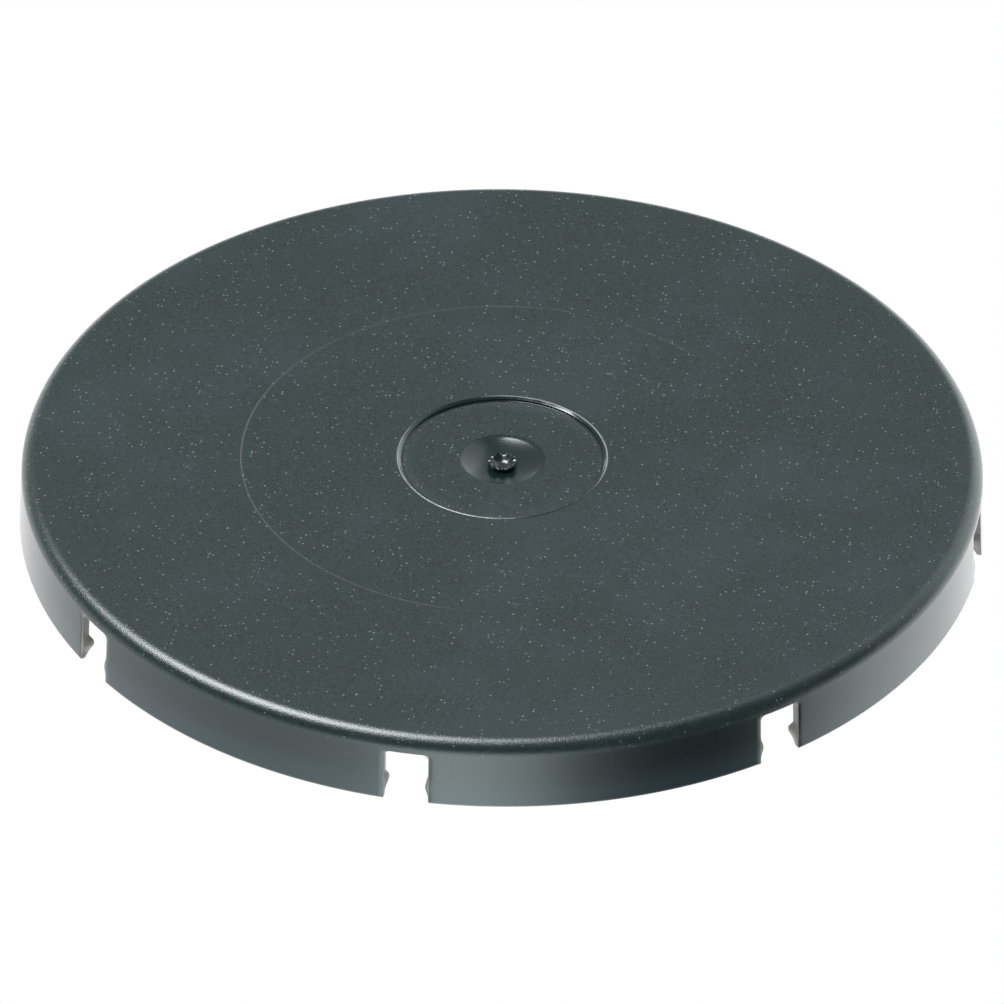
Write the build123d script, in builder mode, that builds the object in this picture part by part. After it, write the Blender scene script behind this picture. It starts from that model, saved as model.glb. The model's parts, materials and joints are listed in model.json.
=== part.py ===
"""Clip-on cover cap that closes a round desk grommet.

One plastic moulding: a round plate with a thin skirt, which eight slots cut into spring fingers. A bead inside
the fingers snaps under the grommet's flange. The cap stands on the tips of its fingers at Z = 0, with its axis
on Z, its top face up and one slot centred on -Y. All sizes are in millimetres and degrees.
"""

import math
import os

from build123d import *

# Overall
cap_diameter = 73.6  # across the skirt, just under the rounded edge
cap_height = 5.5
edge_radius = 1.15  # rounding between the top face and the skirt
face_sag = 0.3  # how far the middle of the top face lies below its edge

# Plate
plate_thickness = 1.3  # at the edge of the top face
corner_radius = 0.4  # fillet between the plate and the inside of the skirt

# Skirt and snap bead
skirt_thickness = 0.6
skirt_flare = 3.0  # lean outwards towards the mouth
tip_thickness = 0.28  # flat that is left at the end of each finger
lead_in_height = 1.2  # slope that spreads the fingers over the flange
land_height = 0.4  # cylindrical crest of the bead
catch_height = 0.5  # slope that holds the flange
bead_reach = 0.35  # how far the bead stands in from the skirt
bead_round = 0.2

# Slots between the fingers
slot_count = 8
slot_width = 3.3
slot_overrun = 0.05  # how far the slots run up into the plate
slot_corner_radius = 0.4
finger_corner_radius = 0.2
waist_depth = 0.22  # how far the ends of the bead bulge into a slot
waist_height = 1.6

# Marks of the mould on the top face
ring_diameter = 40.0  # edge of the mould's insert
ring_step = 0.03
recess_diameter = 16.0  # face of the gate bush
recess_depth = 0.28
dish_diameter = 6.5  # hollow left by the nozzle
dish_depth = 0.6
stub_diameter = 2.2  # broken-off gate
stub_height = 0.4
stub_draft = 5.0

# Pad under the gate, which keeps the wall at the dish thick enough to fill
pad_diameter = 9.0
pad_height = 0.6
pad_round = 0.25

face_radius = cap_diameter / 2
flat_radius = face_radius - edge_radius
sag_radius = (flat_radius**2 + face_sag**2) / (2 * face_sag)
dish_radius = ((dish_diameter / 2) ** 2 + dish_depth**2) / (2 * dish_depth)

plate_bottom = cap_height - plate_thickness
land_bottom = lead_in_height
land_top = land_bottom + land_height
bead_top = land_top + catch_height


def face_height(radius):
    """Height of the dished top face at this distance from the axis."""
    middle = cap_height - face_sag
    return middle + sag_radius - math.sqrt(sag_radius**2 - radius**2)


def skirt_outside(height):
    """Outer radius of the flared skirt at this height."""
    drop = cap_height - edge_radius - height
    return face_radius + drop * math.tan(math.radians(skirt_flare))


def skirt_inside(height):
    """Inner radius of the skirt, clear of the bead, at this height."""
    return skirt_outside(height) - skirt_thickness


def slot_plane(angle):
    """Upright plane across the skirt, its origin on the floor, this far round from -Y."""
    outwards = Vector(0, -1, 0).rotate(Axis.Z, angle)
    along = outwards.rotate(Axis.Z, 90)
    return Plane(origin=outwards * face_radius, x_dir=along, z_dir=outwards)


crest_radius = skirt_inside((land_bottom + land_top) / 2) - bead_reach

ring_radius = ring_diameter / 2
recess_radius = recess_diameter / 2
recess_floor = face_height(recess_radius) - ring_step - recess_depth

dish_bottom = recess_floor - dish_depth
stub_top_radius = stub_diameter / 2
stub_top = dish_bottom + stub_height
stub_base_radius = stub_top_radius + stub_height * math.tan(math.radians(stub_draft))
stub_base = dish_bottom + dish_radius - math.sqrt(dish_radius**2 - stub_base_radius**2)

pad_radius = pad_diameter / 2
pad_bottom = plate_bottom - pad_height

slot_top = plate_bottom + slot_overrun
half_slot = slot_width / 2
waist_middle = (land_bottom + land_top) / 2
slot_planes = [slot_plane(i * 360 / slot_count) for i in range(slot_count)]

with BuildPart() as snap_cap:
    with BuildSketch(Plane.XZ) as half_section:
        with BuildLine() as outline:
            # Underside, from the axis out to the mouth
            FilletPolyline(
                (0, pad_bottom),
                (pad_radius, pad_bottom),
                (pad_radius, plate_bottom),
                (skirt_inside(plate_bottom), plate_bottom),
                (skirt_inside(bead_top), bead_top),
                (crest_radius, land_top),
                (crest_radius, land_bottom),
                (skirt_outside(0) - tip_thickness, 0),
                radius=[pad_round, pad_round, corner_radius, bead_round, bead_round, bead_round],
            )
            # Finger tip, outside of the skirt and rounded edge
            Line((skirt_outside(0) - tip_thickness, 0), (skirt_outside(0), 0))
            Line((skirt_outside(0), 0), (face_radius, cap_height - edge_radius))
            CenterArc((flat_radius, cap_height - edge_radius), edge_radius, 0, 90)
            # Dished face, in to the insert's edge and the gate recess
            RadiusArc((flat_radius, cap_height), (ring_radius, face_height(ring_radius)), sag_radius)
            Line(
                (ring_radius, face_height(ring_radius)),
                (ring_radius, face_height(ring_radius) - ring_step),
            )
            RadiusArc(
                (ring_radius, face_height(ring_radius) - ring_step),
                (recess_radius, face_height(recess_radius) - ring_step),
                sag_radius,
            )
            Line(
                (recess_radius, face_height(recess_radius) - ring_step),
                (recess_radius, recess_floor),
            )
            Line((recess_radius, recess_floor), (dish_diameter / 2, recess_floor))
            # Nozzle dish and the stub that stands in it
            RadiusArc((dish_diameter / 2, recess_floor), (stub_base_radius, stub_base), dish_radius)
            Line((stub_base_radius, stub_base), (stub_top_radius, stub_top))
            Line((stub_top_radius, stub_top), (0, stub_top))
            Line((0, stub_top), (0, pad_bottom))
        make_face()
    revolve(axis=Axis.Z)

    with BuildSketch(*slot_planes) as slots:
        with BuildLine() as slot_outline:
            Line((0, slot_top), (half_slot - slot_corner_radius, slot_top))
            CenterArc(
                (half_slot - slot_corner_radius, slot_top - slot_corner_radius),
                slot_corner_radius,
                0,
                90,
            )
            Line(
                (half_slot, slot_top - slot_corner_radius),
                (half_slot, waist_middle + waist_height / 2),
            )
            ThreePointArc(
                (half_slot, waist_middle + waist_height / 2),
                (half_slot - waist_depth, waist_middle),
                (half_slot, waist_middle - waist_height / 2),
            )
            Line(
                (half_slot, waist_middle - waist_height / 2),
                (half_slot, finger_corner_radius),
            )
            CenterArc(
                (half_slot + finger_corner_radius, finger_corner_radius),
                finger_corner_radius,
                180,
                90,
            )
            Line(
                (half_slot + finger_corner_radius, 0),
                (half_slot + finger_corner_radius, -cap_height),
            )
            Line((half_slot + finger_corner_radius, -cap_height), (0, -cap_height))
            mirror(about=Plane.YZ)
        make_face()
    extrude(amount=2 * skirt_thickness + bead_reach + corner_radius, both=True, mode=Mode.SUBTRACT)

snap_cap.part.label = "snap_cap"
os.makedirs("parts", exist_ok=True)
export_step(snap_cap.part, "parts/snap_cap.step")
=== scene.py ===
"""A clip-on cap for a round desk grommet: its moulded shape, its finish and the studio it is shown in.

Sizes are in metres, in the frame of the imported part: the cap stands on its finger tips at Z = 0
with its axis on Z and one slot centred on -Y. Azimuths are counted anticlockwise from -Y, seen
from above.
"""

import json
import math

import bmesh
import bpy
from bpy.props import FloatProperty, FloatVectorProperty, IntProperty, PointerProperty
from mathutils import Matrix, Vector, noise


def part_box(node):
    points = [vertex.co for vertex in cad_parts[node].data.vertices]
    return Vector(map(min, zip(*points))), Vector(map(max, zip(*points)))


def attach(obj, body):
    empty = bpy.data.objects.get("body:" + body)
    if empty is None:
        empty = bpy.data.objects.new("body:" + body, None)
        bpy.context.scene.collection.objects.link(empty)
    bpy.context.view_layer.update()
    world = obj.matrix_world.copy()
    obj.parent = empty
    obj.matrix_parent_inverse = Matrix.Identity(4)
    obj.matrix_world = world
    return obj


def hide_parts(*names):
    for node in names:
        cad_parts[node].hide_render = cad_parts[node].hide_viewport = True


bl_info = {
    "name": "Grommet Cap",
    "version": (1, 0, 0),
    "blender": (4, 5, 0),
    "location": "View3D > Sidebar > Grommet Cap",
    "description": "Models a clip-on desk grommet cap with its moulded finish",
    "category": "Object",
}

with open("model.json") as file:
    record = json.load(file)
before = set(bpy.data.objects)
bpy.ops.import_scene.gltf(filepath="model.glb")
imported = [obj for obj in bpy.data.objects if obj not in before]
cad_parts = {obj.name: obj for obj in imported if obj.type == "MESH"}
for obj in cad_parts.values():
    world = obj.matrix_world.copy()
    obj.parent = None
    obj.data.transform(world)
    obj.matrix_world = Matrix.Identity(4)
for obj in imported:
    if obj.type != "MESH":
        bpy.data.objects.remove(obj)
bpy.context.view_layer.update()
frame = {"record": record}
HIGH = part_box("snap_cap")[1]
MOUNTS = {mount["name"]: mount for mount in frame["record"]["mounts"]}
MM = 0.001

# Points this close are one point.
MERGE = 1e-7
# Room for rounding when places are compared, and when azimuths are.
NEAR = 2e-6
FLANK_NEAR = 1e-4
# Keeps the softened tips inside the CAD box.
TIP_SLACK = 2e-6

# Place of the key light: turn from the camera and elevation in degrees, distance in metres.
KEY_PLACE = (-106, 66, 0.9)
KEY_SIZE = (0.5, 0.65)
KEY_POWER = 27
KEY_TINT = (1.0, 0.9, 0.91)

# Strength of the light from above: at the camera's side, and what is added behind the cap.
SKY_GLOW = 0.29
BACK_GLOW = 0.27
# Strength of the lit sweep low behind the cap, and of the screen at its right.
SWEEP_GLOW = 2.2
SCREEN_GLOW = 1.1
# Strength of the lit table, by azimuth in degrees from the camera, and the most it may be.
TABLE_GLOW = (
    (-180, 1.8),
    (-90, 1.6),
    (-60, 1.6),
    (-35, 2.1),
    (-12, 5.6),
    (5, 4.0),
    (20, 0.9),
    (36, 0.2),
    (60, 0.12),
    (80, 2.0),
    (96, 2.7),
    (180, 2.2),
)
GLOW_TOP = 6.0


def length(name, description, millimetres):
    """A size that the user can change, given here in millimetres."""
    return FloatProperty(
        name=name, description=description, default=millimetres * MM, unit="LENGTH", precision=5
    )


def angle(name, description, degrees):
    """An angle that the user can change, given here in degrees."""
    return FloatProperty(
        name=name, description=description, default=math.radians(degrees), subtype="ANGLE"
    )


def share(name, description, default):
    """A value from 0 to 1 that the user can change."""
    return FloatProperty(
        name=name, description=description, default=default, min=0, max=1, subtype="FACTOR"
    )


def colour(name, description, default):
    """A colour that the user can change."""
    return FloatVectorProperty(
        name=name, description=description, default=default, min=0, max=1, size=3, subtype="COLOR"
    )


class CapSizes(bpy.types.PropertyGroup):
    """Sizes of the cap that its frame doesn't give."""

    edge_radius: length("Edge Radius", "Rounding between the top face and the skirt", 1.15)
    face_sag: length("Face Sag", "How far the middle of the top face has sunk", 0.3)
    corner_radius: length("Corner Radius", "Fillet between the plate and the skirt", 0.4)
    skirt_thickness: length("Skirt Thickness", "Wall of the fingers, clear of the bead", 0.6)
    skirt_flare: angle("Skirt Flare", "Lean of the skirt towards its mouth", 3)
    tip_thickness: length("Tip Thickness", "Flat at the end of each finger", 0.28)
    land_height: length("Land Height", "Crest of the bead", 0.4)
    catch_height: length("Catch Height", "Slope that holds the flange", 0.5)
    bead_round: length("Bead Rounding", "Rounding of the bead's corners", 0.2)
    slot_count: IntProperty(name="Slots", description="Slots between the fingers", default=8, min=3)
    slot_width: length("Slot Width", "Gap between two fingers", 3.3)
    finger_corner: length("Finger Corner", "Rounding of the fingers' lower corners", 0.2)
    waist_depth: length("Waist Depth", "How far the bead's ends bulge into a slot", 0.22)
    waist_height: length("Waist Height", "Height of that bulge", 1.9)
    soft_edge: length("Soft Edge", "Rounding of the fingers' cut edges", 0.07)
    ring_radius: length("Insert Radius", "Edge of the mould's insert", 20)
    ring_step: length("Insert Step", "Step at the insert's edge", 0.03)
    recess_radius: length("Recess Radius", "Face of the gate bush", 8)
    recess_depth: length("Recess Depth", "Depth of the gate bush's face", 0.28)
    burr_height: length("Burr Height", "Flash that stands round the recess", 0.07)
    lip_run: length("Lip Run", "Width of the slope at the brink of the recess", 0.189)
    lip_drop: length("Lip Drop", "Height of that slope", 0.112)
    burr_gap: angle("Burr Gap", "Azimuth where the flash is missing, and again opposite", 48)
    dish_radius: length("Dish Radius", "Hollow left by the nozzle", 3.25)
    dish_depth: length("Dish Depth", "Depth of that hollow", 0.6)
    stub_radius: length("Stub Radius", "Broken-off gate", 1.1)
    stub_height: length("Stub Height", "Height of the broken gate", 0.4)
    stub_tear: length("Stub Tear", "Unevenness of its torn end", 0.22)
    pad_radius: length("Pad Radius", "Pad under the gate", 4.5)
    pad_height: length("Pad Height", "Height of that pad", 0.6)
    pad_round: length("Pad Rounding", "Rounding of the pad's edge", 0.25)
    finger_steps: IntProperty(name="Finger Steps", description="Facets along a finger", default=56)
    slot_steps: IntProperty(name="Slot Steps", description="Facets across a slot", default=6)


def arc(centre, radius, start, end, steps):
    """Points round an arc in the section, from one angle to another, in degrees."""
    turns = [math.radians(start + (end - start) * i / steps) for i in range(steps + 1)]
    return [(centre[0] + radius * math.cos(t), centre[1] + radius * math.sin(t)) for t in turns]


def run(start, end, steps):
    """Points along a straight run in the section, without its first."""
    return [
        (
            start[0] + (end[0] - start[0]) * i / steps,
            start[1] + (end[1] - start[1]) * i / steps,
        )
        for i in range(1, steps + 1)
    ]


def rounded(before, corner, after, radius, steps):
    """Points of the arc that rounds a corner between two straight runs."""
    here = Vector(corner)
    back = (Vector(before) - here).normalized()
    on = (Vector(after) - here).normalized()
    half = back.angle(on) / 2
    reach = radius / math.tan(half)
    centre = here + (back + on).normalized() * radius / math.sin(half)
    first, last = here + back * reach - centre, here + on * reach - centre
    turn = first.angle_signed(last)
    points = []
    for i in range(steps + 1):
        t = -turn * i / steps
        x = first.x * math.cos(t) - first.y * math.sin(t)
        y = first.x * math.sin(t) + first.y * math.cos(t)
        points.append((centre.x + x, centre.y + y))
    return points


class Section:
    """Half section of the cap, worked out from its sizes and its frame."""

    def __init__(self, sizes):
        self.sizes = sizes
        self.height = HIGH.z
        self.seat = MOUNTS["seat"]["pos_m"][2]
        self.crest = MOUNTS["snap_bead"]["dims"]["r_mm"] * MM
        self.land_middle = MOUNTS["snap_bead"]["pos_m"][2]
        self.shoulder = self.height - sizes.edge_radius
        drop = self.shoulder * math.tan(sizes.skirt_flare)
        tips = Vector(MOUNTS["finger_tips"]["pos_m"])
        self.mouth_radius = tips.xy.length + sizes.tip_thickness / 2 - TIP_SLACK
        self.face_radius = self.mouth_radius - drop
        self.flat_radius = self.face_radius - sizes.edge_radius
        self.slot_turn = 2 * math.asin(sizes.slot_width / 2 / self.face_radius)

    def outside(self, z):
        """Outer radius of the skirt at this height."""
        return self.face_radius + (self.shoulder - z) * math.tan(self.sizes.skirt_flare)

    def inside(self, z):
        """Inner radius of the skirt, clear of the bead, at this height."""
        return self.outside(z) - self.sizes.skirt_thickness

    def face(self, radius):
        """Height of the sunken top face at this distance from the axis."""
        sag = self.sizes.face_sag
        return self.height - sag + sag * (radius / self.flat_radius) ** 2

    def underside(self):
        """Points from the axis, round the gate pad, to the fillet of the skirt."""
        sizes = self.sizes
        low, edge, round_ = self.seat - sizes.pad_height, sizes.pad_radius, sizes.pad_round
        points = [(0, low)] + run((0, low), (edge - round_, low), 3)
        points += arc((edge - round_, low + round_), round_, -90, 0, 4)[1:]
        points += run((edge, low + round_), (edge, self.seat), 1)
        start = self.inside(self.seat) - sizes.corner_radius
        return points + run((edge, self.seat), (start, self.seat), 8)

    def skirt_inside(self):
        """Points down the inside of a finger, from the plate to its tip."""
        sizes = self.sizes
        low = self.land_middle - sizes.land_height / 2
        high = self.land_middle + sizes.land_height / 2
        bead_top = high + sizes.catch_height
        wall = self.inside(self.seat)
        start = (wall - sizes.corner_radius, self.seat)
        waist = (self.inside(bead_top), bead_top)
        catch, lead = (self.crest, high), (self.crest, low)
        tip = (self.mouth_radius - sizes.tip_thickness, 0)
        centre = (start[0], self.seat - sizes.corner_radius)
        points = arc(centre, sizes.corner_radius, 90, 0, 6)
        top, middle, bottom = (
            rounded(before, corner, after, sizes.bead_round, 3)
            for before, corner, after in (
                (points[-1], waist, catch),
                (waist, catch, lead),
                (catch, lead, tip),
            )
        )
        soft = sizes.tip_thickness / 5
        end = rounded(lead, tip, (self.mouth_radius, 0), soft, 3)
        slope = (lead[0] - tip[0]) / lead[1]
        corner = (tip[0] + slope * sizes.finger_corner, sizes.finger_corner)
        points += run(points[-1], top[0], 5) + top[1:]
        points += run(top[-1], middle[0], 2) + middle[1:]
        points += run(middle[-1], bottom[0], 2) + bottom[1:]
        points += run(bottom[-1], corner, 5) + run(corner, end[0], 4) + end[1:]
        return points

    def skirt(self):
        """Points down the inside of a finger and up its outside, at the same heights."""
        down = self.skirt_inside()
        soft = self.sizes.tip_thickness / 5
        up = []
        for _, z in reversed(down):
            curl = soft - math.sqrt(max(soft**2 - (soft - z) ** 2, 0)) if z < soft else 0
            up.append((self.outside(z) - curl, z))
        return down, up

    def top(self):
        """Points from the skirt over the rounded edge to the broken gate."""
        sizes = self.sizes
        rim = (self.flat_radius, self.shoulder)
        points = run((self.outside(self.seat), self.seat), (self.face_radius, self.shoulder), 1)
        points += arc(rim, sizes.edge_radius, 0, 90, 12)[1:]
        points += self.face_run(self.flat_radius, sizes.ring_radius + sizes.ring_step, 8, 0)[1:]
        points += self.face_run(sizes.ring_radius, sizes.recess_radius + 2 * sizes.burr_height, 7, 1)
        brink = self.face(sizes.recess_radius) - sizes.ring_step
        floor = brink - sizes.recess_depth
        burr = sizes.burr_height
        crest = sizes.recess_radius + burr / 2
        lip = (crest - 0.8 * burr, brink - burr / 5)
        wall = (lip[0] - sizes.lip_run, lip[1] - sizes.lip_drop)
        foot = (wall[0] - burr / 4, floor)
        points += [(crest + burr, brink), (crest + burr / 2, brink + burr / 3), (crest, brink)]
        points += [lip] + rounded(lip, wall, foot, burr / 2, 2)
        points += rounded(wall, foot, (0, floor), burr / 2, 2)
        points += run(points[-1], (sizes.dish_radius + sizes.ring_step, floor), 3)
        ball = (sizes.dish_radius**2 + sizes.dish_depth**2) / (2 * sizes.dish_depth)
        middle = floor - sizes.dish_depth + ball
        for i in range(9):
            reach = sizes.dish_radius + (sizes.stub_radius - sizes.dish_radius) * i / 8
            points.append((reach, middle - math.sqrt(ball**2 - reach**2)))
        foot = points[-1]
        stub_top = floor - sizes.dish_depth + sizes.stub_height
        points += run(foot, (sizes.stub_radius * 0.96, stub_top), 4)
        points += run(points[-1], (0, stub_top), 8)
        return points

    def face_run(self, start, end, steps, steps_down):
        """Points in along the sunken face, on the insert's side of its step or outside it."""
        lower = steps_down * self.sizes.ring_step
        radii = [start + (end - start) * i / steps for i in range(steps + 1)]
        return [(radius, self.face(radius) - lower) for radius in radii]


def pick(mesh, kind, test):
    """Selects, in edit mode, only the vertices, edges or faces that pass a test."""
    edit = bmesh.from_edit_mesh(mesh)
    for face in edit.faces:
        face.select = False
    for edge in edit.edges:
        edge.select = False
    for vertex in edit.verts:
        vertex.select = False
    edit.select_flush_mode()
    chosen = [item for item in getattr(edit, kind) if test(item)]
    if not chosen:
        raise RuntimeError(f"no {kind} found for this step")
    for item in chosen:
        item.select_set(True)
    bmesh.update_edit_mesh(mesh)


def azimuth(point):
    """Angle of a point about the axis, from -Y."""
    return math.atan2(point.x, -point.y)


def draw_wire(points, turn):
    """Adds a plane, gathers it to one vertex and draws the section from it, at this azimuth."""
    outwards = Vector((math.sin(turn), -math.cos(turn), 0))
    places = [outwards * radius + Vector((0, 0, z)) for radius, z in points]
    bpy.ops.mesh.primitive_plane_add(size=MM)
    bpy.ops.object.mode_set(mode="EDIT")
    bpy.ops.mesh.merge(type="CENTER")
    bpy.ops.transform.translate(value=places[0])
    for here, there in zip(places, places[1:]):
        bpy.ops.mesh.extrude_vertices_move(TRANSFORM_OT_translate={"value": there - here})
    bpy.ops.mesh.select_all(action="SELECT")


def spin_sector(sizes, slot_turn):
    """Turns the section through half a finger, a slot and half a finger."""
    finger_turn = 2 * math.pi / sizes.slot_count - slot_turn
    half = sizes.finger_steps // 2
    finger, slot = (finger_turn / 2, half), (slot_turn, sizes.slot_steps)
    for turn, steps in (finger, slot, finger):
        bpy.ops.mesh.spin(steps=steps, angle=turn, center=(0, 0, 0), axis=(0, 0, 1))
    bpy.ops.mesh.select_all(action="SELECT")
    bpy.ops.mesh.remove_doubles(threshold=MERGE)


def cut_slot(mesh, section):
    """Opens the skirt between two fingers and closes the roof and the two flanks of the slot."""
    half, seat = section.slot_turn / 2, section.seat
    start = section.inside(seat) - section.sizes.corner_radius

    def in_slot(face):
        middle = face.calc_center_median()
        return (
            abs(azimuth(middle)) < half
            and middle.z < seat - NEAR
            and middle.xy.length > start - NEAR
        )

    pick(mesh, "faces", in_slot)
    bpy.ops.mesh.delete(type="FACE")

    def on_roof(edge):
        ends = [v.co for v in edge.verts]
        radii = [co.xy.length for co in ends]
        level = all(abs(co.z - seat) < NEAR and abs(azimuth(co)) < half + NEAR for co in ends)
        same = abs(radii[0] - radii[1]) < NEAR
        return level and same and edge.is_boundary

    pick(mesh, "edges", on_roof)
    bpy.ops.mesh.bridge_edge_loops()
    for side in (-1, 1):

        def on_flank(edge):
            ends = [v.co for v in edge.verts]
            upright = all(abs(azimuth(co) - side * half) < FLANK_NEAR for co in ends)
            rung = abs(ends[0].z - ends[1].z) < NEAR
            return upright and edge.is_boundary and not rung

        pick(mesh, "edges", on_flank)
        bpy.ops.mesh.bridge_edge_loops()


def flank_shift(section, z):
    """How far a flank stands into the slot at this height."""
    sizes = section.sizes
    corner = sizes.corner_radius
    shift = 0
    if z > section.seat - corner:
        rise = z - (section.seat - corner)
        shift += corner - math.sqrt(max(corner**2 - rise**2, 0))
    away = abs(z - section.land_middle) / (sizes.waist_height / 2)
    if away < 1:
        shift += sizes.waist_depth * (1 + math.cos(math.pi * away)) / 2
    if z < sizes.finger_corner:
        rise = sizes.finger_corner - z
        shift -= sizes.finger_corner - math.sqrt(max(sizes.finger_corner**2 - rise**2, 0))
    return shift


def soften_slot(mesh, section):
    """Bevels the slot's cut edges: both sides of each flank and the outer edge of the roof."""
    sizes, half, seat = section.sizes, section.slot_turn / 2, section.seat
    low = sizes.finger_corner / 2
    high = seat - sizes.corner_radius / 2

    def is_cut(edge):
        ends = [v.co for v in edge.verts]
        turns = [abs(azimuth(co)) for co in ends]
        if max(turns) > half + FLANK_NEAR or min(co.xy.length for co in ends) < section.crest - NEAR:
            return False
        if min(co.z for co in ends) < low or max(co.z for co in ends) > seat + NEAR:
            return False
        if abs(ends[0].z - ends[1].z) < NEAR:
            return ends[0].z > seat - NEAR and abs(ends[0].xy.length - ends[1].xy.length) < NEAR
        inner = ends[0].xy.length < section.outside(ends[0].z) - sizes.tip_thickness / 3
        return min(turns) > half - FLANK_NEAR and (not inner or max(co.z for co in ends) < high + NEAR)

    pick(mesh, "edges", is_cut)
    bpy.ops.mesh.bevel(offset=sizes.soft_edge, segments=2, affect="EDGES")


def shape_flanks(mesh, section):
    """Moves the slot's vertices round the axis, to round its corners and give it its waist."""
    sizes, half, seat = section.sizes, section.slot_turn / 2, section.seat
    start = section.inside(seat) - sizes.corner_radius
    strip = 1.1 * sizes.soft_edge / section.face_radius
    edit = bmesh.from_edit_mesh(mesh)
    for vertex in edit.verts:
        turn, radius, z = azimuth(vertex.co), vertex.co.xy.length, vertex.co.z
        if abs(turn) > half + strip or radius < start - NEAR:
            continue
        over = max(abs(turn) - half, 0) * radius
        if z > seat + NEAR:
            if z > seat + 1.1 * sizes.soft_edge and over > NEAR:
                continue
            fade = (section.height - z) / (section.height - seat)
            away = min(abs(turn), half) * (radius - sizes.corner_radius * fade / half)
        else:
            level = min(max(z, NEAR), seat - NEAR)
            slope = flank_shift(section, level + NEAR / 2) - flank_shift(section, level - NEAR / 2)
            lean = math.atan(slope / NEAR)
            along = min(abs(turn) / half, 1)
            away = along * (half * radius - flank_shift(section, z)) + over * math.cos(lean)
            vertex.co.z += over * math.sin(lean)
        turn = math.copysign(away / radius, turn)
        vertex.co.x, vertex.co.y = radius * math.sin(turn), -radius * math.cos(turn)
    bmesh.update_edit_mesh(mesh)


def tear_stub(mesh, section):
    """Tears the end of the broken gate into a ragged rim round a deep hollow."""
    sizes = section.sizes
    top = max(v.co.z for v in mesh.vertices if v.co.xy.length < MERGE)
    foot = top - sizes.stub_height * 0.6
    for vertex in mesh.vertices:
        reach = vertex.co.xy.length / sizes.stub_radius
        if reach > 1.02 or vertex.co.z < max(foot, section.seat):
            continue
        turn = azimuth(vertex.co)
        ragged = noise.noise(Vector((math.cos(turn), math.sin(turn), 0.7)) * 2.4)
        grain = noise.fractal(vertex.co * 2600 + Vector((3.1, 0.4, 0)), 0.6, 2.1, 2)
        rim = math.exp(-(((reach - 0.84) / 0.16) ** 2))
        hollow = math.exp(-((reach / 0.66) ** 4))
        lift = rim * (0.5 + 0.9 * ragged) - 1.7 * hollow + 0.22 * grain * rim
        vertex.co.z += sizes.stub_tear * lift * min((vertex.co.z - foot) / (top - foot), 1)


def raise_burr(mesh, section):
    """Raises the burr round the recess, unevenly."""
    sizes = section.sizes
    crest = sizes.recess_radius + sizes.burr_height / 2
    for vertex in mesh.vertices:
        radius = vertex.co.xy.length
        if abs(radius - crest) < sizes.burr_height / 6 and vertex.co.z > section.seat + MM / 2:
            turn = azimuth(vertex.co)
            wave = noise.noise(Vector((math.cos(turn), math.sin(turn), 0)) * 9)
            whole = min(abs(math.sin(turn - sizes.burr_gap)) / 0.6, 1)
            vertex.co.z += sizes.burr_height * max(0.8 + 0.5 * wave, 0.1) * whole


class GROMMET_OT_add_cap(bpy.types.Operator):
    """Model the cap as one moulding and give it its finish"""

    bl_idname = "grommet.add_cap"
    bl_label = "Add Cap"

    def execute(self, context):
        sizes = context.scene.grommet_cap
        section = Section(sizes)
        down, up = section.skirt()
        points = section.underside() + down[1:] + up + section.top()
        bpy.ops.object.select_all(action="DESELECT")
        draw_wire(points, math.pi / sizes.slot_count)
        cap = context.object
        cap.name = cap.data.name = "clip_on_cap"
        bpy.context.tool_settings.mesh_select_mode = (False, True, False)
        spin_sector(sizes, section.slot_turn)
        cut_slot(cap.data, section)
        soften_slot(cap.data, section)
        shape_flanks(cap.data, section)
        bpy.ops.mesh.select_all(action="SELECT")
        bpy.ops.mesh.spin(
            steps=sizes.slot_count - 1,
            dupli=True,
            angle=2 * math.pi * (1 - 1 / sizes.slot_count),
            center=(0, 0, 0),
            axis=(0, 0, 1),
        )
        bpy.ops.mesh.select_all(action="SELECT")
        bpy.ops.mesh.remove_doubles(threshold=MERGE * 3)
        bpy.ops.mesh.normals_make_consistent(inside=False)
        bpy.ops.object.mode_set(mode="OBJECT")
        tear_stub(cap.data, section)
        raise_burr(cap.data, section)
        bpy.ops.object.shade_smooth_by_angle(angle=math.radians(40))
        cap.data.materials.append(make_plastic(sizes, context.scene.grommet_finish, section))
        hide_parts("snap_cap")
        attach(cap, "root")
        return {"FINISHED"}


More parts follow.
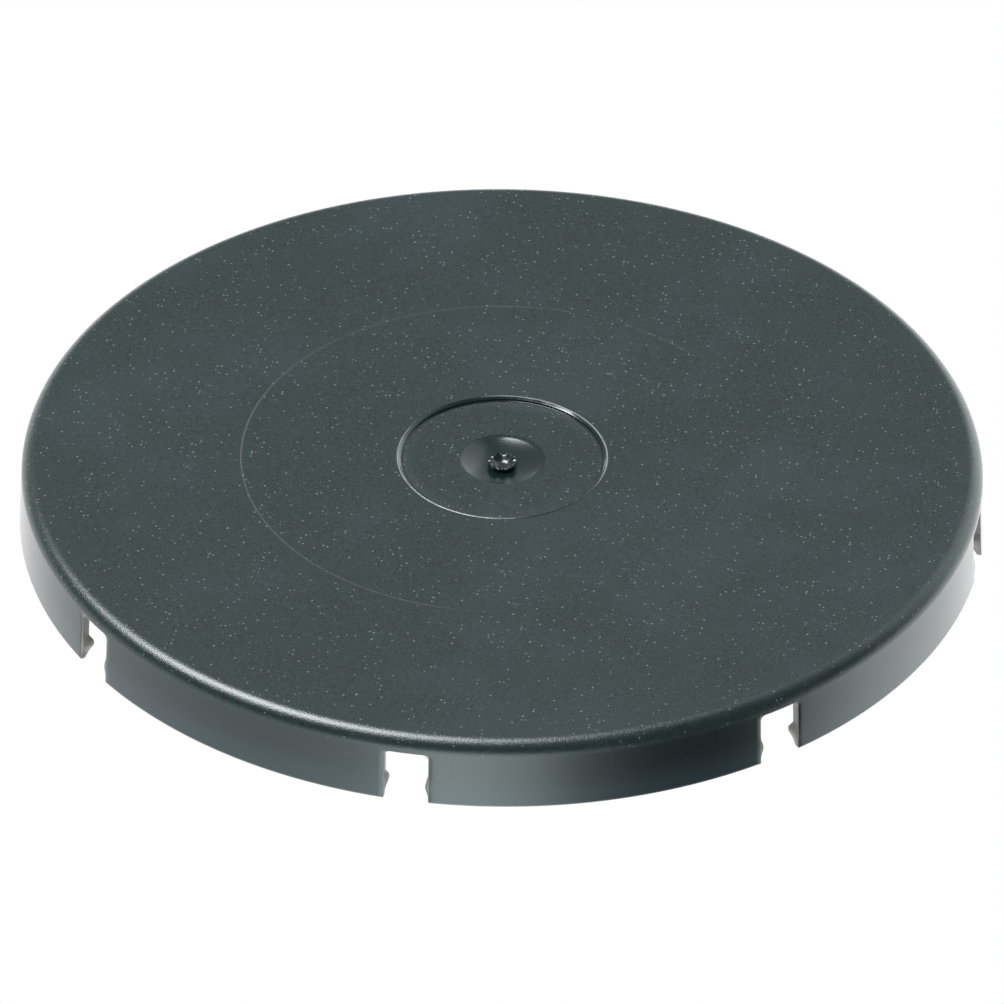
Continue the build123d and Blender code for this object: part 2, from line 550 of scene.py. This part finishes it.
class CapFinish(bpy.types.PropertyGroup):
    """Colours and textures of the moulded plastic, and the colours of its painted highlights."""

    plastic: colour("Plastic", "Colour of the plastic itself", (0.0018, 0.006, 0.006))
    gloss_tint: colour("Gloss Tint", "Tint of what the plastic reflects", (0.84, 1.0, 0.99))
    # Colour of the hazy patches, and of the lower skirt, which is made lighter and bluer towards its
    # foot.
    haze: colour("Haze", "Colour of rubbed and hazy patches", (0.01, 0.018, 0.024))
    # Pale colour of a painted highlight along the slots' cut edges and the fingers' foot.
    edge_highlight: colour("Trimmed", "Colour of the slots' cut faces and the worn foot", (0.12, 0.118, 0.105))
    # Colour of a painted highlight along the flash's crest and the insert's line.
    flash_highlight: colour("Flash", "Colour of the stretched flash round the recess", (0.11, 0.125, 0.125))
    # Colour of the grain's painted glints, of specks that are partly dust and partly painted glints,
    # and of the scuffs.
    glint: colour("Glint", "Colour of dust and of the grain's bright points", (0.16, 0.2, 0.2))
    patchiness: share("Haze Share", "How much of the haze shows on the grain", 0.3)
    # Strength of the painted glints on the grain.
    sparkle: share("Sparkle", "Strength of the grain's bright points", 0.35)
    dust_and_glints: share("Dust", "Strength of the dust", 0.38)
    scuffing: share("Scuffing", "Strength of the scuffs", 0.2)
    streaks: share("Streaks", "Unevenness of the skirt's gloss", 0.05)
    grain_size: length("Grain Size", "Size of the spark-eroded grain on the top", 0.11)
    grain_depth: length("Grain Depth", "Depth of that grain", 0.021)
    grained: share("Grained Roughness", "Roughness of the grained top", 0.33)
    moulded: share("Moulded Roughness", "Roughness of the smooth skirt", 0.26)
    polished: share("Polished Roughness", "Roughness of the gate's dish", 0.18)


def group_socket(group, name, kind, going, default=None):
    """Adds a named input or output to a node group."""
    made = group.interface.new_socket(name=name, in_out=going, socket_type=kind)
    if default is not None:
        made.default_value = default


class Nodes:
    """Short ways to add and wire the nodes of one tree."""

    def __init__(self, tree):
        self.tree = tree

    def add(self, kind, inputs=(), **settings):
        """Adds a node, sets it and wires its inputs, given by name or place."""
        node = self.tree.nodes.new(kind)
        for key, value in settings.items():
            setattr(node, key, value)
        for key, value in dict(inputs).items():
            socket = node.inputs[key]
            if isinstance(value, bpy.types.NodeSocket):
                self.tree.links.new(value, socket)
            else:
                socket.default_value = value
        return node

    def math(self, operation, first, second=0.0, clamp=False):
        """A Math node's result."""
        node = self.add(
            "ShaderNodeMath", {0: first, 1: second}, operation=operation, use_clamp=clamp
        )
        return node.outputs[0]

    def reach(self, place):
        """Distance of a place from the origin."""
        node = self.add("ShaderNodeVectorMath", {0: place}, operation="LENGTH")
        return node.outputs["Value"]

    def step(self, value, low, high, top=1.0):
        """A smooth step from 0 at low to top at high."""
        node = self.add(
            "ShaderNodeMapRange",
            {"Value": value, "From Min": low, "From Max": high, "To Min": 0.0, "To Max": top},
            interpolation_type="SMOOTHSTEP",
        )
        return node.outputs["Result"]

    def mix(self, amount, first, second):
        """A blend of two colours."""
        node = self.add("ShaderNodeMix", data_type="RGBA", clamp_factor=True)
        for socket, value in ((0, amount), (6, first), (7, second)):
            if isinstance(value, bpy.types.NodeSocket):
                self.tree.links.new(value, node.inputs[socket])
            else:
                node.inputs[socket].default_value = value
        return node.outputs[2]


def start_group(name, inputs, outputs):
    """Makes an empty node group with these sockets."""
    group = bpy.data.node_groups.new(name, "ShaderNodeTree")
    for label, kind, default in inputs:
        group_socket(group, label, kind, "INPUT", default)
    for label, kind in outputs:
        group_socket(group, label, kind, "OUTPUT")
    nodes = Nodes(group)
    return nodes, nodes.add("NodeGroupInput").outputs, nodes.add("NodeGroupOutput").inputs


FLOAT, VECTOR = "NodeSocketFloat", "NodeSocketVector"


def make_spark_grain():
    """The pitted grain of a spark-eroded mould: its height, and a mask of painted glints for its few
    bright points.
    """
    nodes, given, out = start_group(
        "spark_grain",
        (("Position", VECTOR, None), ("Size", FLOAT, 0.0002), ("Seed", FLOAT, 0.0)),
        (("Height", FLOAT), ("Glints", FLOAT)),
    )
    scale = nodes.math("DIVIDE", 1.0, given["Size"])
    shape = {"Vector": given["Position"], "W": given["Seed"], "Scale": scale, "Detail": 2.5}
    pits = nodes.add("ShaderNodeTexNoise", shape, noise_dimensions="4D").outputs["Fac"]
    coarse = nodes.math("MULTIPLY", scale, 0.3)
    shape = {"Vector": given["Position"], "W": given["Seed"], "Scale": coarse, "Detail": 1.0}
    swell = nodes.add("ShaderNodeTexNoise", shape, noise_dimensions="4D").outputs["Fac"]
    height = nodes.math("ADD", pits, nodes.math("MULTIPLY", swell, 0.25))
    nodes.tree.links.new(height, out["Height"])
    # Painted glints: bright points that stand in for highlights on the grain's facets.
    shape = {"Vector": given["Position"], "Scale": nodes.math("MULTIPLY", scale, 0.35)}
    cells = nodes.add("ShaderNodeTexVoronoi", shape)
    chance = nodes.add("ShaderNodeSeparateColor", {"Color": cells.outputs["Color"]}).outputs[0]
    size = nodes.step(chance, 0.6, 1.0, 0.34)
    near = nodes.math("SUBTRACT", size, cells.outputs["Distance"])
    nodes.tree.links.new(nodes.step(near, 0.0, 0.16), out["Glints"])
    return nodes.tree


def make_handling_marks():
    """Rubbed haze in soft patches, the fine scuffs that handling leaves, and specks that are partly
    dust, partly painted glints.
    """
    nodes, given, out = start_group(
        "handling_marks",
        (("Position", VECTOR, None), ("Patch Size", FLOAT, 0.012), ("Dust Size", FLOAT, 0.0009)),
        (("Haze", FLOAT), ("Scuffs", FLOAT), ("Dust", FLOAT)),
    )
    scale = nodes.math("DIVIDE", 1.0, given["Patch Size"])
    shape = {"Vector": given["Position"], "Scale": scale, "Detail": 4.0, "Roughness": 0.62}
    cloud = nodes.add("ShaderNodeTexNoise", shape).outputs["Fac"]
    nodes.tree.links.new(nodes.step(cloud, 0.42, 0.72), out["Haze"])
    turned = nodes.add(
        "ShaderNodeMapping",
        {"Vector": given["Position"], "Rotation": (0, 0, 0.9), "Scale": (0.3, 1, 1)},
    ).outputs["Vector"]
    shape = {"Vector": turned, "Scale": nodes.math("MULTIPLY", scale, 40.0), "Detail": 2.0}
    lines = nodes.add("ShaderNodeTexNoise", shape).outputs["Fac"]
    scuffs = nodes.math("MULTIPLY", nodes.step(lines, 0.68, 0.8), nodes.step(cloud, 0.5, 0.62))
    nodes.tree.links.new(scuffs, out["Scuffs"])
    # Specks: partly dust, partly painted glints, at random brightness.
    shape = {"Vector": given["Position"], "Scale": nodes.math("DIVIDE", 1.0, given["Dust Size"])}
    cells = nodes.add("ShaderNodeTexVoronoi", shape)
    chance = nodes.add("ShaderNodeSeparateColor", {"Color": cells.outputs["Color"]}).outputs[0]
    size = nodes.step(chance, 0.76, 1.0, 0.07)
    near = nodes.math("SUBTRACT", size, cells.outputs["Distance"])
    shine = nodes.add("ShaderNodeSeparateColor", {"Color": cells.outputs["Color"]}).outputs[1]
    shine = nodes.math("MULTIPLY", shine, shine)
    nodes.tree.links.new(nodes.math("MULTIPLY", nodes.step(near, 0.0, 0.03), shine), out["Dust"])
    return nodes.tree


def make_draw_lines():
    """Fine upright lines that a skirt gets as it is drawn off its core."""
    nodes, given, out = start_group(
        "draw_lines",
        (("Position", VECTOR, None), ("Lines Round", FLOAT, 90.0)),
        (("Lines", FLOAT),),
    )
    part = nodes.add("ShaderNodeSeparateXYZ", {0: given["Position"]}).outputs
    turn = nodes.math("ARCTAN2", part["X"], part["Y"])
    shape = {"W": nodes.math("MULTIPLY", turn, given["Lines Round"]), "Scale": 1.0, "Detail": 3.0}
    lines = nodes.add("ShaderNodeTexNoise", shape, noise_dimensions="1D").outputs["Fac"]
    nodes.tree.links.new(lines, out["Lines"])
    return nodes.tree


def make_cap_zones():
    """Masks of the cap's finishes and of its painted highlights, by distance from the axis and by
    height.
    """
    radii = ("Ring Radius", "Recess Radius", "Dish Radius", "Stub Radius")
    others = ("Seat", "Grain Foot", "Slots", "Slot Half", "Burr Gap")
    masks = ("Grained", "Polished", "Burr", "Cut", "Foot", "Torn")
    nodes, given, out = start_group(
        "cap_zones",
        (("Position", VECTOR, None), *((name, FLOAT, 0.0) for name in radii + others)),
        tuple((name, FLOAT) for name in masks),
    )
    part = nodes.add("ShaderNodeSeparateXYZ", {0: given["Position"]}).outputs
    level = nodes.add("ShaderNodeCombineXYZ", {"X": part["X"], "Y": part["Y"]}).outputs[0]
    radius = nodes.reach(level)
    # The grain ends just above the skirt, outside the dish and clear of the recess's wall.
    soft = 0.12 * MM
    lower = nodes.math("SUBTRACT", given["Grain Foot"], 3 * soft)
    upper = nodes.step(part["Z"], lower, given["Grain Foot"])
    beyond = nodes.step(radius, given["Dish Radius"], nodes.math("ADD", given["Dish Radius"], soft))
    wall = nodes.math("SUBTRACT", given["Recess Radius"], 0.12 * MM)
    wall = nodes.math("ABSOLUTE", nodes.math("SUBTRACT", radius, wall))
    wall = nodes.step(wall, 0.3 * MM, 0.22 * MM)
    grained = nodes.math("MULTIPLY", upper, beyond)
    grained = nodes.math("MULTIPLY", grained, nodes.math("SUBTRACT", 1.0, wall))
    nodes.tree.links.new(grained, out["Grained"])
    above = nodes.math("ADD", given["Seat"], 0.05 * MM)
    above = nodes.math("GREATER_THAN", part["Z"], above)
    within = nodes.math("MAXIMUM", nodes.math("SUBTRACT", 1.0, beyond), wall)
    nodes.tree.links.new(nodes.math("MULTIPLY", within, above), out["Polished"])
    # The flash is missing at two places, and so is the painted highlight along its crest; the insert's
    # line gets a painted highlight on its left, lit side only.
    turn = nodes.math("ARCTAN2", part["X"], nodes.math("MULTIPLY", part["Y"], -1.0))
    gap = nodes.math("SINE", nodes.math("SUBTRACT", turn, given["Burr Gap"]))
    whole = nodes.step(nodes.math("ABSOLUTE", gap), 0.3, 0.65)
    crest = nodes.math("ADD", given["Recess Radius"], 0.03 * MM)
    crest = nodes.math("SUBTRACT", radius, crest)
    crest = nodes.step(nodes.math("ABSOLUTE", crest), 0.07 * MM, 0.03 * MM)
    burr = nodes.math("MULTIPLY", nodes.math("MULTIPLY", crest, whole), above)
    witness = nodes.math("ABSOLUTE", nodes.math("SUBTRACT", radius, given["Ring Radius"]))
    witness = nodes.step(witness, 0.1 * MM, 0.04 * MM, 0.13)
    # Lit side: the insert line's painted highlight shows only on the left, towards the key light.
    lit_side_and_roughness = nodes.step(part["X"], 4 * MM, -4 * MM)
    witness = nodes.math("MULTIPLY", nodes.math("MULTIPLY", witness, lit_side_and_roughness), above)
    nodes.tree.links.new(nodes.math("MAXIMUM", burr, witness), out["Burr"])
    torn = nodes.math("DIVIDE", radius, given["Stub Radius"])
    torn = nodes.math("MULTIPLY", nodes.step(torn, 0.9, 0.66), above)
    nodes.tree.links.new(torn, out["Torn"])
    # The slots' cut edges, by the distance from the middle of the nearest slot, and below them the
    # fingers' foot: both carry a painted highlight.
    turn = nodes.math("DIVIDE", nodes.math("MULTIPLY", turn, given["Slots"]), 2 * math.pi)
    turn = nodes.math("SUBTRACT", nodes.math("FRACT", nodes.math("ADD", turn, 0.5)), 0.5)
    along = nodes.math("MULTIPLY", nodes.math("ABSOLUTE", turn), 2 * math.pi)
    along = nodes.math("DIVIDE", nodes.math("MULTIPLY", along, radius), given["Slots"])
    edge = nodes.math("SUBTRACT", along, given["Slot Half"])
    low = nodes.step(part["Z"], nodes.math("ADD", given["Seat"], 0.1 * MM), given["Seat"])
    cut = nodes.math("MULTIPLY", nodes.step(edge, soft, 0.3 * soft), low)
    nodes.tree.links.new(cut, out["Cut"])
    nodes.tree.links.new(nodes.step(part["Z"], 1.3 * soft, 0.4 * soft), out["Foot"])
    return nodes.tree


def make_plastic(sizes, finish, section):
    """The moulded plastic: grained on top, smooth on the skirt and polished in the dish."""
    paint = bpy.data.materials.new("moulded_plastic")
    paint.use_nodes = True
    nodes = Nodes(paint.node_tree)
    shader = paint.node_tree.nodes["Principled BSDF"]
    place = nodes.add("ShaderNodeTexCoord").outputs["Object"]
    zones = nodes.add("ShaderNodeGroup", node_tree=make_cap_zones())
    grain = nodes.add("ShaderNodeGroup", node_tree=make_spark_grain())
    marks = nodes.add("ShaderNodeGroup", node_tree=make_handling_marks())
    lines = nodes.add("ShaderNodeGroup", node_tree=make_draw_lines())
    for node in (zones, grain, marks, lines):
        paint.node_tree.links.new(place, node.inputs["Position"])
    places = {
        "Ring Radius": sizes.ring_radius,
        "Recess Radius": sizes.recess_radius,
        "Dish Radius": sizes.dish_radius,
        "Stub Radius": sizes.stub_radius,
        "Seat": section.seat,
        "Grain Foot": section.shoulder + sizes.edge_radius * 0.25,
        "Slots": sizes.slot_count,
        "Slot Half": sizes.slot_width / 2,
        "Burr Gap": sizes.burr_gap,
    }
    for name, value in places.items():
        zones.inputs[name].default_value = value
    grain.inputs["Size"].default_value = finish.grain_size
    grained, polished = zones.outputs["Grained"], zones.outputs["Polished"]
    smooth = nodes.math("SUBTRACT", 1.0, grained)

    cut, foot = zones.outputs["Cut"], zones.outputs["Foot"]
    part = nodes.add("ShaderNodeSeparateXYZ", {0: place}).outputs
    pits = nodes.step(grain.outputs["Height"], 0.42, 0.84)
    pits = nodes.math("MULTIPLY", nodes.math("SUBTRACT", pits, 0.4), grained)
    pits = nodes.math("ADD", pits, 0.4)
    body = nodes.mix(pits, (0.0, 0.0, 0.0, 1), (*[2.4 * c for c in finish.plastic], 1))
    # The smooth skirt is lighter and bluer towards its foot, from none at 3.2 mm to full at 0.2 mm.
    lower_skirt = nodes.math("MULTIPLY", nodes.step(part["Z"], 3.2 * MM, 0.2 * MM), smooth)
    haze = nodes.math("MULTIPLY", grained, finish.patchiness)
    haze = nodes.math("MULTIPLY", marks.outputs["Haze"], haze)
    haze = nodes.math("MAXIMUM", haze, lower_skirt)
    body = nodes.mix(haze, body, (*finish.haze, 1))
    # Painted glints on the grain.
    glints = nodes.math("MULTIPLY", grained, finish.sparkle)
    glints = nodes.math("MULTIPLY", grain.outputs["Glints"], glints)
    # Specks that are partly dust and partly painted glints.
    dust_and_glints = nodes.math("MULTIPLY", marks.outputs["Dust"], finish.dust_and_glints)
    scuffs = nodes.math("MULTIPLY", marks.outputs["Scuffs"], finish.scuffing)
    glints = nodes.math("MAXIMUM", nodes.math("MAXIMUM", glints, dust_and_glints), scuffs)
    body = nodes.mix(glints, body, (*finish.glint, 1))
    # Painted highlight: pale along the slots' cut edges and the fingers' foot.
    body = nodes.mix(nodes.math("MAXIMUM", cut, foot), body, (*finish.edge_highlight, 1))
    # Painted highlight along the flash's crest and, on its lit side, the insert's line.
    body = nodes.mix(zones.outputs["Burr"], body, (*finish.flash_highlight, 1))
    paint.node_tree.links.new(body, shader.inputs["Base Color"])

    rough = nodes.math("MULTIPLY", grained, finish.grained - finish.moulded)
    rough = nodes.math("ADD", rough, finish.moulded)
    gloss = nodes.math("MULTIPLY", polished, finish.moulded - finish.polished)
    rough = nodes.math("SUBTRACT", rough, gloss)
    streak = nodes.math("SUBTRACT", lines.outputs["Lines"], 0.5)
    streak = nodes.math("MULTIPLY", streak, nodes.math("MULTIPLY", smooth, finish.streaks))
    rough = nodes.math("ADD", rough, streak)
    rough = nodes.math("ADD", rough, nodes.math("MULTIPLY", cut, 0.25))
    lit_side_and_roughness = nodes.math("MULTIPLY", zones.outputs["Torn"], 0.3)
    lit_side_and_roughness = nodes.math("ADD", zones.outputs["Burr"], lit_side_and_roughness)
    rough = nodes.math("ADD", rough, nodes.math("MULTIPLY", lit_side_and_roughness, 0.3), clamp=True)
    paint.node_tree.links.new(rough, shader.inputs["Roughness"])

    height = nodes.math("MULTIPLY", grain.outputs["Height"], nodes.math("ADD", grained, 0.06))
    height = nodes.math("ADD", height, nodes.math("MULTIPLY", streak, 0.3))
    bump = nodes.add(
        "ShaderNodeBump",
        {"Height": height, "Distance": finish.grain_depth, "Strength": 1.0},
    )
    paint.node_tree.links.new(bump.outputs["Normal"], shader.inputs["Normal"])
    shader.inputs["Specular Tint"].default_value = (*finish.gloss_tint, 1)
    shader.inputs["IOR"].default_value = 1.5
    return paint


class StageSetup(bpy.types.PropertyGroup):
    """The camera, lights and floor that the cap is shown with."""

    distance: length("Camera Distance", "From the camera to the middle of the top face", 736)
    elevation: angle("Camera Elevation", "Height of the camera above the floor", 35.73)
    azimuth: angle("Camera Azimuth", "Turn of the camera round the cap from its front", 10.8)
    tilt: angle("Camera Tilt", "Aim of the camera below the middle of the top face", 0.29)
    roll: angle("Camera Roll", "Lean of the camera about its own axis", -0.475)
    focal_length: FloatProperty(
        name="Focal Length", description="Focal length of the lens", default=344.9, unit="CAMERA"
    )


def around(stage, turn, elevation, distance):
    """A place round the cap: turn is from the camera, anticlockwise from above, in degrees."""
    turn = stage.azimuth + math.radians(turn)
    rise = math.radians(elevation)
    level = distance * math.cos(rise)
    return Vector((level * math.sin(turn), -level * math.cos(turn), distance * math.sin(rise)))


def add_softbox(name, place, width, height, power, tint):
    """An area light aimed at the cap."""
    bpy.ops.object.light_add(type="AREA", location=place)
    lamp = bpy.context.object
    lamp.name = lamp.data.name = name
    lamp.data.shape = "RECTANGLE"
    lamp.data.size, lamp.data.size_y = width, height
    lamp.data.energy = power
    lamp.data.color = tint
    lamp.rotation_euler = (-place).to_track_quat("-Z", "Y").to_euler()


def add_floor():
    """A plain white floor that the camera sees and that leaves the lighting to the table's glow."""
    bpy.ops.mesh.primitive_plane_add(size=6)
    floor = bpy.context.object
    floor.name = "floor"
    paint = bpy.data.materials.new("white_floor")
    paint.use_nodes = True
    shader = paint.node_tree.nodes["Principled BSDF"]
    shader.inputs["Base Color"].default_value = (0, 0, 0, 1)
    shader.inputs["Specular IOR Level"].default_value = 0
    shader.inputs["Emission Color"].default_value = (1, 1, 1, 1)
    shader.inputs["Emission Strength"].default_value = 1
    floor.data.materials.append(paint)
    floor.visible_diffuse = floor.visible_glossy = False
    floor.visible_transmission = floor.visible_shadow = False


def light_world(scene, stage):
    """A soft studio: dimmer behind the camera, with a lit table that glows from below."""
    world = bpy.data.worlds.new("studio")
    scene.world = world
    world.use_nodes = True
    nodes = Nodes(world.node_tree)
    place = nodes.add("ShaderNodeTexCoord").outputs["Generated"]
    turned = nodes.add(
        "ShaderNodeVectorRotate",
        {"Vector": place, "Angle": -stage.azimuth},
        rotation_type="Z_AXIS",
    ).outputs[0]
    part = nodes.add("ShaderNodeSeparateXYZ", {0: turned}).outputs
    sky = nodes.math("ADD", nodes.step(part["Y"], -0.4, 0.95, BACK_GLOW), SKY_GLOW)
    # A lit sweep low behind the cap, reaching higher on the right.
    low = nodes.math("SUBTRACT", part["Z"], nodes.math("MULTIPLY", part["X"], 0.35))
    low = nodes.step(low, 0.36, 0.2)
    side = nodes.step(nodes.math("ABSOLUTE", part["X"]), 0.12, 0.4)
    behind = nodes.step(part["Y"], 0.35, 0.65)
    sweep = nodes.math("MULTIPLY", nodes.math("MULTIPLY", low, side), behind)
    sweep = nodes.math("MULTIPLY", sweep, SWEEP_GLOW)
    # A dimmer screen behind and to the right, which the dish mirrors.
    screen = nodes.step(part["Y"], 0.15, 0.35)
    screen = nodes.math("MULTIPLY", nodes.step(part["X"], 0.16, 0.24), screen)
    screen = nodes.math("MULTIPLY", screen, nodes.step(part["Z"], 0.92, 0.8, SCREEN_GLOW))
    sky = nodes.math("ADD", sky, nodes.math("MAXIMUM", sweep, screen))
    turn = nodes.math("ARCTAN2", part["X"], nodes.math("MULTIPLY", part["Y"], -1.0))
    turn = nodes.math("ADD", nodes.math("DIVIDE", turn, 2 * math.pi), 0.5)
    glow = nodes.add("ShaderNodeValToRGB", {0: turn})
    ramp = glow.color_ramp
    ramp.interpolation = "EASE"
    while len(ramp.elements) < len(TABLE_GLOW):
        ramp.elements.new(0.5)
    for element, (degrees, value) in zip(ramp.elements, TABLE_GLOW):
        element.position = degrees / 360 + 0.5
        element.color = (*[value / GLOW_TOP] * 3, 1)
    table = nodes.math("MULTIPLY", glow.outputs[0], GLOW_TOP)
    down = nodes.step(part["Z"], 0.03, -0.03)
    light = nodes.add("ShaderNodeMix", {0: down, 2: sky, 3: table}).outputs[0]
    world.node_tree.links.new(light, world.node_tree.nodes["Background"].inputs["Strength"])
    world.node_tree.nodes["Background"].inputs["Color"].default_value = (1, 1, 1, 1)


class GROMMET_OT_add_stage(bpy.types.Operator):
    """Lay the floor and set up the camera and the lights"""

    bl_idname = "grommet.add_stage"
    bl_label = "Add Stage"

    def execute(self, context):
        stage = context.scene.grommet_stage
        add_floor()
        light_world(context.scene, stage)
        add_softbox("key", around(stage, *KEY_PLACE), *KEY_SIZE, KEY_POWER, KEY_TINT)

        place = around(stage, 0, math.degrees(stage.elevation), stage.distance)
        bpy.ops.object.camera_add(location=place)
        camera = context.object
        camera.location.z += HIGH.z
        camera.name = "camera"
        camera.data.lens = stage.focal_length
        camera.data.clip_start = 0.01
        aim = (
            Matrix.Rotation(stage.azimuth, 4, "Z")
            @ Matrix.Rotation(-stage.elevation - stage.tilt, 4, "X")
            @ Matrix.Rotation(stage.roll, 4, "Y")
            @ Matrix.Rotation(math.pi / 2, 4, "X")
        )
        camera.rotation_euler = aim.to_euler()
        context.scene.camera = camera
        context.scene.view_settings.view_transform = "Standard"
        return {"FINISHED"}


class GROMMET_PT_panel(bpy.types.Panel):
    """Lists the cap's sizes and the steps that model and show it"""

    bl_label = "Grommet Cap"
    bl_idname = "GROMMET_PT_panel"
    bl_space_type = "VIEW_3D"
    bl_region_type = "UI"
    bl_category = "Grommet Cap"

    def draw(self, context):
        scene = context.scene
        for group in (scene.grommet_cap, scene.grommet_finish, scene.grommet_stage):
            column = self.layout.column()
            for key in group.__annotations__:
                column.prop(group, key)
        self.layout.operator(GROMMET_OT_add_cap.bl_idname)
        self.layout.operator(GROMMET_OT_add_stage.bl_idname)


CLASSES = (
    CapSizes,
    CapFinish,
    StageSetup,
    GROMMET_OT_add_cap,
    GROMMET_OT_add_stage,
    GROMMET_PT_panel,
)


def register():
    """Adds the classes and the settings to Blender."""
    for cls in CLASSES:
        bpy.utils.register_class(cls)
    bpy.types.Scene.grommet_cap = PointerProperty(type=CapSizes)
    bpy.types.Scene.grommet_finish = PointerProperty(type=CapFinish)
    bpy.types.Scene.grommet_stage = PointerProperty(type=StageSetup)


def unregister():
    """Takes them out again."""
    del bpy.types.Scene.grommet_stage
    del bpy.types.Scene.grommet_finish
    del bpy.types.Scene.grommet_cap
    for cls in reversed(CLASSES):
        bpy.utils.unregister_class(cls)


def main():
    """Builds the cap and its stage."""
    register()
    bpy.ops.grommet.add_cap()
    bpy.ops.grommet.add_stage()


if __name__ == "__main__":
    main()
